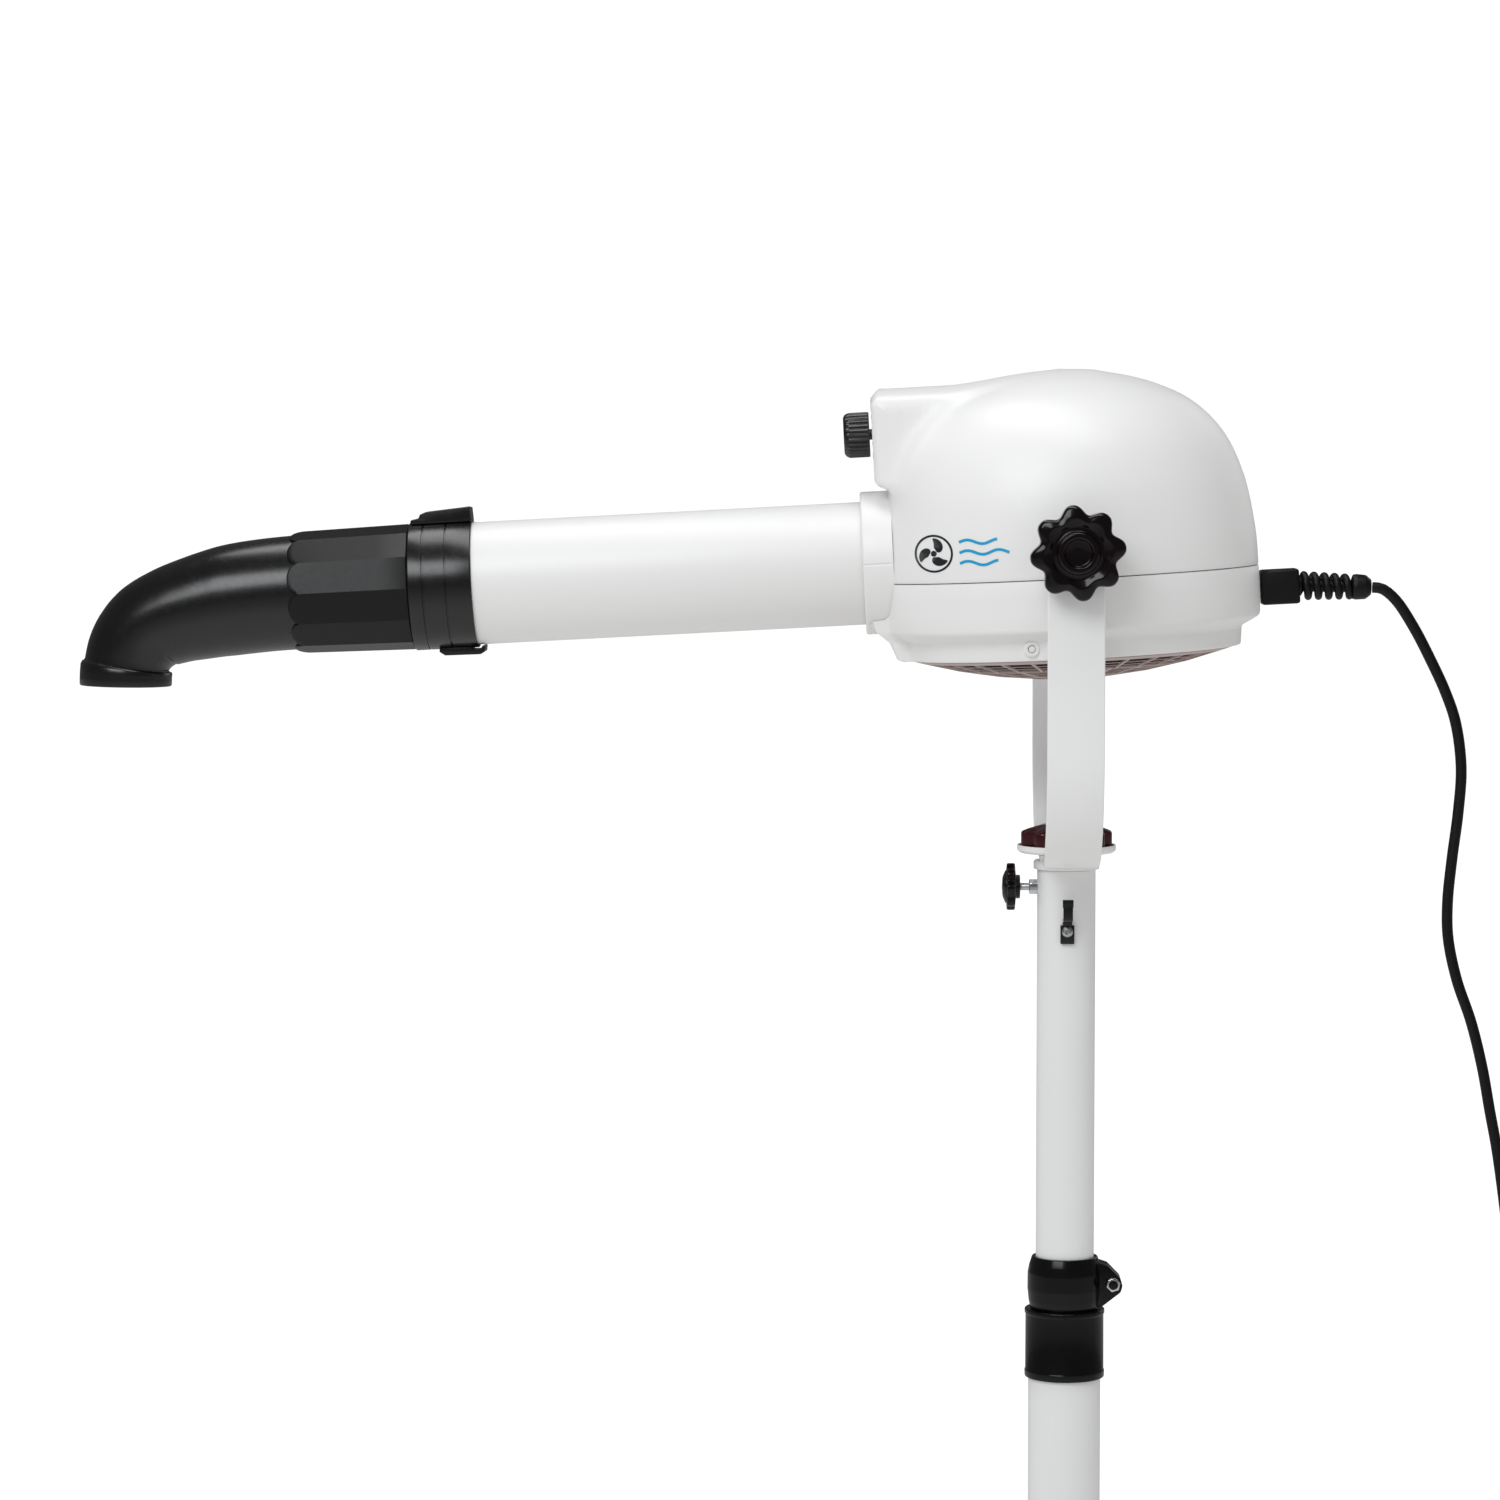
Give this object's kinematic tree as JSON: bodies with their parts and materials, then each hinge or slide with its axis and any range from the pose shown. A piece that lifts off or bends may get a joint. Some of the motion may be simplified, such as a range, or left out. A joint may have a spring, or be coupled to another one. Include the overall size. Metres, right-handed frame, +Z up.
{
  "type": "stand hair dryer",
  "caption": "Stand dryer: round tilting blower head with a long duct and elbow nozzle, in a fork on a telescopic mast with a caster base.",
  "frame": {"origin": "on the floor under the middle of the dryer's outline, its mains lead left out", "axes": "+Z up; the nozzle points to -X and the mains lead leaves the head towards +X; the tilt axis is along Y"},
  "size_m": [0.9709, 0.5692, 1.2969],
  "materials": {
    "white_plastic": "gloss, slightly warm white",
    "white_paint": "satin powder coat",
    "black_plastic": "satin with a fine moulded texture",
    "grille_plastic": "translucent smoke-brown moulding",
    "rubber": "matt black PVC",
    "tread": "black wheel with a polyurethane tread",
    "steel": "zinc plated",
    "chrome": "bright chrome",
    "copper": "oxidised heating wire",
    "mica": "mica sheet"
  },
  "bodies": {
    "base": {"outer_tube": "white_paint", "base_hub": "white_paint", "hub_cover": "black_plastic", "coupling_sleeve": "black_plastic", "clamp_collar": "black_plastic", "clamp_bolt": "steel", "leg_1": "white_paint", "leg_2": "white_paint", "leg_3": "white_paint", "leg_4": "white_paint", "leg_5": "white_paint"},
    "mast": {"mast": "white_paint", "mast_cap": "white_paint", "swivel_bush": "black_plastic", "lock_boss": "chrome", "cord_hook": "black_plastic", "hook_screw": "steel"},
    "lock_knob": {"lock_knob": "black_plastic"},
    "fork": {"fork": "white_paint", "cup_washer": "white_paint", "swivel_stem": "steel", "lead_upper": "rubber", "lead_lower": "rubber", "lead_coil": "rubber", "plug": "rubber"},
    "swivel_nut": {"swivel_nut": "black_plastic"},
    "head": {"upper_shell": "white_plastic", "lower_shell": "white_plastic", "neck_ring": "white_plastic", "intake_grille": "grille_plastic", "filter_screen": "black_plastic", "fan_motor": "steel", "motor_bracket": "steel", "air_scroll": "white_plastic", "heater_frame": "mica", "heater_coil": "copper", "control_switch": "black_plastic", "duct_tube": "white_plastic", "nozzle_ring": "black_plastic", "pivot_bush_near": "black_plastic", "pivot_bush_far": "black_plastic", "pivot_bolt_far": "steel", "cord_gland": "rubber"},
    "fan": {"fan_impeller": "black_plastic"},
    "nozzle": {"nozzle_elbow": "black_plastic"},
    "control_knob": {"control_knob": "black_plastic"},
    "tilt_knob": {"tilt_knob": "black_plastic"},
    "caster_1": {"caster_1": "black_plastic"},
    "wheels_1": {"wheels_1": "tread"},
    "caster_2": {"caster_2": "black_plastic"},
    "wheels_2": {"wheels_2": "tread"},
    "caster_3": {"caster_3": "black_plastic"},
    "wheels_3": {"wheels_3": "tread"},
    "caster_4": {"caster_4": "black_plastic"},
    "wheels_4": {"wheels_4": "tread"},
    "caster_5": {"caster_5": "black_plastic"},
    "wheels_5": {"wheels_5": "tread"}
  },
  "joints": [
    {"name": "height_slide", "type": "slide", "parent": "base", "child": "mast", "axis": [0, 0, 1], "range_m": [-0.165, 0], "deforming": ["lead_lower"]},
    {"name": "head_swivel", "type": "hinge", "parent": "mast", "child": "fork", "pos_m": [0.149, 0, 1.03], "axis": [0, 0, 1], "continuous": true},
    {"name": "head_tilt", "type": "hinge", "parent": "fork", "child": "head", "pos_m": [0.149, 0, 1.2], "axis": [0, 1, 0], "range_deg": [-45, 45], "deforming": ["lead_upper"]},
    {"name": "nozzle_turn", "type": "hinge", "parent": "head", "child": "nozzle", "pos_m": [-0.20925, 0, 1.17822], "axis": [0.9986, 0, 0.0523], "continuous": true},
    {"name": "control_knob_turn", "type": "hinge", "parent": "head", "child": "control_knob", "pos_m": [0.03365, 0, 1.26105], "axis": [0.9986, 0, 0.0523], "range_deg": [0, 270]},
    {"name": "fan_spin", "type": "hinge", "parent": "head", "child": "fan", "pos_m": [0.149, 0, 1.2], "axis": [-0.0523, 0, 0.9986], "continuous": true},
    {"name": "tilt_knob_turn", "type": "hinge", "parent": "head", "child": "tilt_knob", "pos_m": [0.149, 0, 1.2], "axis": [0, 1, 0], "range_deg": [0, 200]},
    {"name": "swivel_nut_turn", "type": "hinge", "parent": "fork", "child": "swivel_nut", "pos_m": [0.149, 0, 1.04], "axis": [0, 0, 1], "range_deg": [0, 200]},
    {"name": "lock_knob_turn", "type": "hinge", "parent": "mast", "child": "lock_knob", "pos_m": [0.149, 0, 1.014], "axis": [1, 0, 0], "range_deg": [0, 200]},
    {"name": "stem_1_swivel", "type": "hinge", "parent": "base", "child": "caster_1", "pos_m": [-0.101, 0, 0.06], "axis": [0, 0, 1], "continuous": true},
    {"name": "wheels_1_spin", "type": "hinge", "parent": "caster_1", "child": "wheels_1", "pos_m": [-0.115, 0, 0.025], "axis": [0, -1, 0], "continuous": true},
    {"name": "stem_2_swivel", "type": "hinge", "parent": "base", "child": "caster_2", "pos_m": [0.07175, -0.23776, 0.06], "axis": [0, 0, 1], "continuous": true},
    {"name": "wheels_2_spin", "type": "hinge", "parent": "caster_2", "child": "wheels_2", "pos_m": [0.06742, -0.25108, 0.025], "axis": [0.9511, -0.309, 0], "continuous": true},
    {"name": "stem_3_swivel", "type": "hinge", "parent": "base", "child": "caster_3", "pos_m": [0.35125, -0.14695, 0.06], "axis": [0, 0, 1], "continuous": true},
    {"name": "wheels_3_spin", "type": "hinge", "parent": "caster_3", "child": "wheels_3", "pos_m": [0.36258, -0.15518, 0.025], "axis": [0.5878, 0.809, 0], "continuous": true},
    {"name": "stem_4_swivel", "type": "hinge", "parent": "base", "child": "caster_4", "pos_m": [0.35125, 0.14695, 0.06], "axis": [0, 0, 1], "continuous": true},
    {"name": "wheels_4_spin", "type": "hinge", "parent": "caster_4", "child": "wheels_4", "pos_m": [0.36258, 0.15518, 0.025], "axis": [-0.5878, 0.809, 0], "continuous": true},
    {"name": "stem_5_swivel", "type": "hinge", "parent": "base", "child": "caster_5", "pos_m": [0.07175, 0.23776, 0.06], "axis": [0, 0, 1], "continuous": true},
    {"name": "wheels_5_spin", "type": "hinge", "parent": "caster_5", "child": "wheels_5", "pos_m": [0.06742, 0.25108, 0.025], "axis": [-0.9511, -0.309, 0], "continuous": true}
  ]
}
